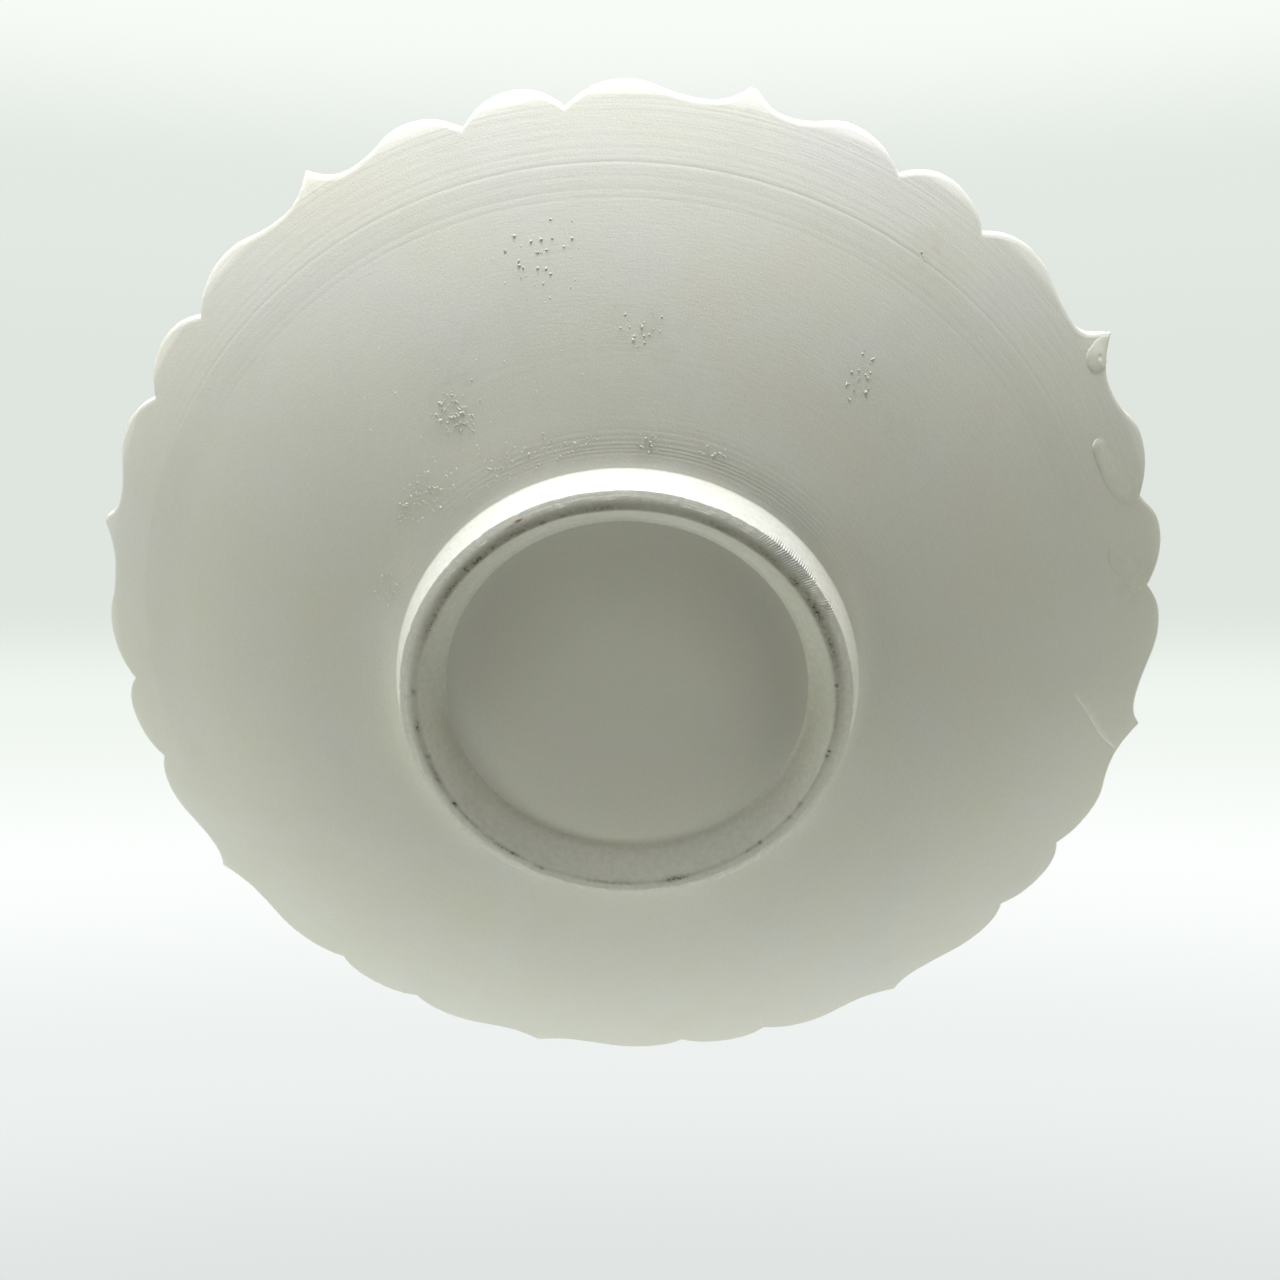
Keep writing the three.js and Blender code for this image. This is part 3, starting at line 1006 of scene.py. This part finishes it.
# Kiln dirt along the inner edge of the ring's bearing band: the angle of its middle, its half
# length in degrees, its distance from the axis in mm, its half width in mm, and how dark it is
KILN_DIRT = [
    (-148, 0.9, 59.9, 1.05, 1),
    (-144, 4.5, 59.7, 0.95, 0.88),
    (-155, 6.5, 59.6, 0.95, 0.75),
    (-166, 7, 59.5, 0.9, 0.62),
    (-138.3, 1.1, 59.7, 0.9, 0.83),
    (-131, 6, 60, 1, 0.64),
    (-123.5, 1.8, 59.6, 0.75, 0.76),
    (-117.8, 1.6, 59.7, 0.6, 0.57),
    (-109, 8, 60, 0.9, 0.56),
    (171.8, 0.9, 60.1, 0.75, 0.8),
    (161.2, 1.7, 60.1, 0.75, 0.87),
    (151.5, 0.9, 59.7, 0.6, 0.92),
    (145.4, 3.4, 59.9, 0.6, 0.71),
    (135, 1.1, 60, 0.68, 0.98),
    (129, 5, 60, 0.52, 0.48),
    (118, 4.5, 60.2, 0.6, 0.69),
    (113, 3, 60, 0.6, 0.9),
    (103.6, 1.6, 60.3, 0.6, 0.63),
    (82, 7, 59.8, 0.52, 0.52),
    (64.3, 3.6, 59.7, 0.75, 1),
    (37.1, 0.8, 59.6, 0.68, 0.92),
    (40, 3.5, 59.7, 0.52, 0.46),
    (26, 1, 59.8, 0.52, 0.76),
    (20.9, 1.2, 59.6, 0.68, 0.76),
    (3.6, 0.5, 59.6, 0.75, 1),
    (2, 0.45, 59.9, 0.75, 1),
    (-18.4, 0.7, 59.7, 0.6, 0.98),
    (-12, 8, 59.8, 0.52, 0.41),
    (-30, 8, 60.3, 1.1, 0.62),
    (-42, 7, 60.5, 1.2, 0.85),
    (-51.5, 2.2, 60.3, 1.1, 0.9),
    (-62, 7, 60.2, 1.1, 0.66),
    (-76, 7, 60, 0.9, 0.56),
]
RUST_MARKS = [
    (-128.9, 1.1, 62.7, 0.42, 1),
    (-131.2, 1.8, 62.2, 0.35, 0.35),
]


def marks_on(r, degrees, marks):
    """How strongly a list of marks darkens each point, from 0 to 1."""
    total = np.zeros_like(r)
    for place, half_length, distance_mm, half_width_mm, strength in marks:
        along = turn_from(degrees, place) / half_length
        aside = (r / MM - distance_mm) / half_width_mm
        total = np.maximum(total, strength * np.exp(-along ** 2 - aside ** 2))
    return total


# Dust that dulls the bearing band: the angle, the middle of the dusty strip and its half width in
# mm, and how strong it is there; between two rows it changes evenly
RING_DUST = [
    (-180, 59.8, 1.6, 0.38),
    (-165, 59.8, 1.8, 0.62),
    (-145, 59.8, 2, 0.85),
    (-125, 59.9, 2.1, 0.78),
    (-90, 60, 2.2, 0.68),
    (-60, 60.1, 2.4, 0.68),
    (-30, 60, 2.4, 0.54),
    (-10, 59.8, 2, 0.4),
    (10, 59.3, 1.3, 0.28),
    (30, 59.1, 1.1, 0.3),
    (60, 59, 1, 0.42),
    (110, 59.3, 1, 0.32),
    (130, 59.6, 1.1, 0.36),
    (150, 59.8, 1.3, 0.66),
    (180, 59.8, 1.6, 0.38),
]

# The most that painted shade darkens the bevel and the floor inside the ring
BEVEL_SHADE = 0.30
RECESS_SHADE = 0.26


def ring_dust_and_shade(r, degrees, z):
    """Dust on the foot ring's bearing band as a strip, and painted shade on the bevel inside it.
    """
    places = [row[0] for row in RING_DUST]
    middle, half_width, strength = (
        np.interp(degrees, places, [row[column] for row in RING_DUST]) for column in (1, 2, 3)
    )
    strip = strength * np.exp(-(np.abs(r / MM - middle) / half_width) ** 3)
    strip = np.where(z < 0.8 * MM, strip, 0)
    # Painted shade on the bevel, darker towards the bearing band
    painted_shade = BEVEL_SHADE * smooth_share(r, RECESS_RADIUS + 1 * MM, BEARING_INNER_RADIUS)
    painted_shade = np.where(r < BEARING_INNER_RADIUS, painted_shade, 0)
    return np.maximum(strip, painted_shade)


def recess_shade(r, degrees):
    """Painted shade over the floor inside the foot ring, darker towards its edge and on the -Y
    side.
    """
    y = r * np.sin(np.radians(degrees))
    painted_shade = RECESS_SHADE * smooth_share(r, 14 * MM, RECESS_RADIUS - 8 * MM)
    painted_shade = painted_shade * (1 - smooth_share(y, -2 * MM, 36 * MM))
    return np.where(r < RING_RADIUS - 1 * MM, painted_shade, 0)


# Stains on the back: angle, half length in degrees, distance in mm, half width in mm, strength
STAINS = [
    (-67.2, 2, 145, 5, 0.24),
    (-64.5, 1.4, 141, 8, 0.14),
    (-48, 2.4, 123, 9, 0.06),
    (-130.5, 5, 100, 9, 0.18),
    (-125, 3.5, 107.5, 4, 0.12),
    (-135.5, 3, 92, 6, 0.16),
    (-98, 6.5, 102.5, 7.5, 0.17),
    (-92, 9, 94, 5, 0.1),
    (-65.6, 3, 108, 6, 0.16),
    (-58, 5, 104, 7, 0.1),
    (-150, 8, 80, 4, 0.1),
    (-30.5, 2.6, 150.5, 5, 0.08),
    (-18.4, 2.4, 151, 4.5, 0.18),
    (31.8, 0.35, 73.3, 0.4, 1),
]

# The camera looks up at the back from under the plate. It stands on the plate's axis, tilted off
# it, then is turned in plan; the last three angles aim it
CAMERA_DISTANCE = 484.97 * MM
CAMERA_OFF_AXIS = 27.576
CAMERA_PLAN_TURN = -8.054
CAMERA_TILT = 2.221
CAMERA_PAN = -0.332
CAMERA_ROLL = -3.766
LENS_MM = 48.13
SENSOR_MM = 36.0


def camera_frame():
    """The camera's place and its three axes: right, up and forward."""
    off = math.radians(CAMERA_OFF_AXIS)
    place = Vector((0, -math.sin(off), -math.cos(off))) * CAMERA_DISTANCE
    forward = -place.normalized()
    up = Vector((0, -math.cos(off), math.sin(off)))
    level = Matrix((forward.cross(up), up, forward))
    aim = Matrix.Rotation(math.radians(CAMERA_ROLL), 3, "Z")
    aim = aim @ Matrix.Rotation(math.radians(CAMERA_PAN), 3, "Y")
    aim = aim @ Matrix.Rotation(math.radians(CAMERA_TILT), 3, "X")
    plan = Matrix.Rotation(math.radians(CAMERA_PLAN_TURN), 3, "Z")
    axes = plan @ (aim @ level).transposed()
    return plan @ place, axes.col[0], axes.col[1], axes.col[2]


def make_camera():
    place, right, up, forward = camera_frame()
    lens = bpy.data.cameras.new("studio_camera")
    lens.sensor_width = SENSOR_MM
    lens.lens = LENS_MM
    lens.clip_start = 0.01
    camera = bpy.data.objects.new("studio_camera", lens)
    turn = Matrix((right, up, -forward)).transposed()
    camera.matrix_world = Matrix.Translation(place) @ turn.to_4x4()
    bpy.context.scene.collection.objects.link(camera)
    bpy.context.scene.camera = camera


# Softboxes round the plate, by where they stand as the camera sees it: degrees clockwise from
# straight up, degrees off the line to the camera, then power in watts and colour
SOFTBOXES = [
    ("top_box", 0, 65, 12, (0.985, 1, 1.03)),
    ("top_edge_box", 0, 80, 7.6, (1, 0.995, 1.035)),
    ("upper_left_sheet", 315, 80, 4, (0.98, 1, 0.98)),
    ("upper_left_back_sheet", 315, 120, 12, (1, 1, 1)),
    ("upper_right_sheet", 45, 90, 1.5, (1, 1, 1)),
    ("upper_right_back_sheet", 45, 110, 3.5, (1, 1, 1)),
    ("lower_right_sheet", 135, 110, 6.6, (0.96, 1, 1)),
    ("lower_left_sheet", 225, 110, 6.4, (0.94, 1, 0.96)),
    ("low_front_sheet", 180, 65, 3.6, (0.98, 1, 0.93)),
    ("right_front_sheet", 90, 65, 1.85, (0.98, 1, 0.72)),
    ("lower_left_front_sheet", 225, 65, 1.8, (0.96, 1, 0.93)),
    ("left_front_sheet", 270, 65, 1.3, (1, 1, 0.70)),
    ("left_sheet", 270, 100, 1, (1, 1, 1)),
]
SOFTBOX_SIZE = 0.5
SOFTBOX_DISTANCE = 1.2
ROOM_LIGHT = (0.005, 0.005, 0.005)


def make_softbox(name, clockwise, off_camera, watts, colour):
    """A round lamp that faces the plate. The back sheets aren't mirrored in its glaze."""
    _, right, up, forward = camera_frame()
    turn = math.radians(clockwise)
    off = math.radians(off_camera)
    aside = right * math.sin(turn) + up * math.cos(turn)
    way = aside * math.sin(off) - forward * math.cos(off)
    lamp = bpy.data.lights.new(name, "AREA")
    lamp.shape = "DISK"
    lamp.size = SOFTBOX_SIZE
    lamp.energy = watts
    lamp.color = colour
    box = bpy.data.objects.new(name, lamp)
    box.location = way * SOFTBOX_DISTANCE
    box.rotation_euler = way.to_track_quat("Z", "Y").to_euler()
    box.visible_camera = False
    box.visible_glossy = not name.endswith("_back_sheet")
    bpy.context.scene.collection.objects.link(box)


# What the photo's camera sees behind the plate: grey tones, each with the sine of its angle above
# the middle of the picture. A view that looks less steeply up sees the plain wall tone instead
BACKDROP = [
    (-0.35, (0.745, 0.775, 0.765)),
    (-0.233, (0.847, 0.879, 0.863)),
    (-0.12, (0.973, 1, 0.982)),
    (-0.035, (0.871, 0.92, 0.871)),
    (0.023, (0.74, 0.79, 0.74)),
    (0.14, (0.738, 0.788, 0.738)),
    (0.249, (0.765, 0.81, 0.765)),
    (0.34, (0.93, 0.97, 0.93)),
]
WALL_TONE = (0.700, 0.720, 0.705)
STEEP_VIEW = (0.45, 0.60)


def make_studio():
    """A pale backdrop for the camera, and an even room light for the plate."""
    world = bpy.data.worlds.new("studio")
    bpy.context.scene.world = world
    world.use_nodes = True
    world.node_tree.nodes.clear()
    sky = Nodes(world.node_tree)
    way = sky.add("TexCoord", {}, "Generated")
    rise = sky.vector("DOT_PRODUCT", way, camera_frame()[2])
    low, high = BACKDROP[0][0], BACKDROP[-1][0]
    ramp = sky.tree.nodes.new("ShaderNodeValToRGB")
    ramp.color_ramp.interpolation = "EASE"
    stops = ramp.color_ramp.elements
    while len(stops) < len(BACKDROP):
        stops.new(0.5)
    for stop, (height, colour) in zip(stops, BACKDROP):
        stop.position = (height - low) / (high - low)
        stop.color = (*colour, 1)
    sky.set_input(ramp.inputs["Fac"], sky.spread(rise, low, high, smooth=False))
    steep = sky.spread(sky.add("SeparateXYZ", {0: way}, "Z"), *STEEP_VIEW, smooth=False)
    seen = sky.add("Background", {"Color": sky.blend(steep, WALL_TONE, ramp.outputs["Color"])})
    room = sky.add("Background", {"Color": ROOM_LIGHT})
    to_camera = sky.add("LightPath", {}, "Is Camera Ray")
    out = sky.tree.nodes.new("ShaderNodeOutputWorld")
    sky.set_input(out.inputs["Surface"], sky.add("MixShader", {0: to_camera, 1: room, 2: seen}))


FLOOR_SIZE = 12.0
FLOOR_DROP = 0.1 * MM
FLOOR_TONE = (0.42, 0.425, 0.42)
FLOOR_FADE = (0.25, 1.0)


def make_floor():
    """A plain floor that fades into the wall. Seen from below it isn't there."""
    bpy.ops.mesh.primitive_plane_add(size=FLOOR_SIZE, location=(0, 0, -FLOOR_DROP))
    floor = bpy.context.object
    floor.name = "studio_floor"
    mix = Recipe("studio_floor", {"Roughness": 0.9, "Base Color": FLOOR_TONE})
    to_camera = mix.add("LightPath", {}, "Is Camera Ray")
    from_above = mix.maths("SUBTRACT", 1, mix.add("NewGeometry", {}, "Backfacing"))
    shown = mix.times(to_camera, from_above)
    far = mix.spread(mix.vector("LENGTH", mix.place), *FLOOR_FADE)
    wall = mix.add("Emission", {"Color": WALL_TONE})
    faded = mix.add("MixShader", {0: far, 1: mix.shader.outputs["BSDF"], 2: wall})
    clear = mix.add("BsdfTransparent", {})
    surface = mix.tree.nodes["Material Output"].inputs["Surface"]
    mix.set_input(surface, mix.add("MixShader", {0: shown, 1: clear, 2: faded}))
    set_material(floor, mix.material)


make_camera()
make_studio()
for softbox in SOFTBOXES:
    make_softbox(*softbox)
make_floor()

dish = make_dish()
ring = make_foot_ring()
coat = make_coat()
grit = make_grit()
runs = [make_glaze_run(node, facts) for node, facts in GLAZE_RUNS.items()]

set_material(dish, back_clay())
set_material(ring, ring_clay())
set_material(grit, grit_clay())
set_material(coat, milky_glaze())
run_glaze = dull_glaze()
for run in runs:
    set_material(run, run_glaze)

for piece in [dish, ring, coat, grit, *runs]:
    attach(piece, "root")

bpy.context.scene.view_settings.view_transform = "Standard"
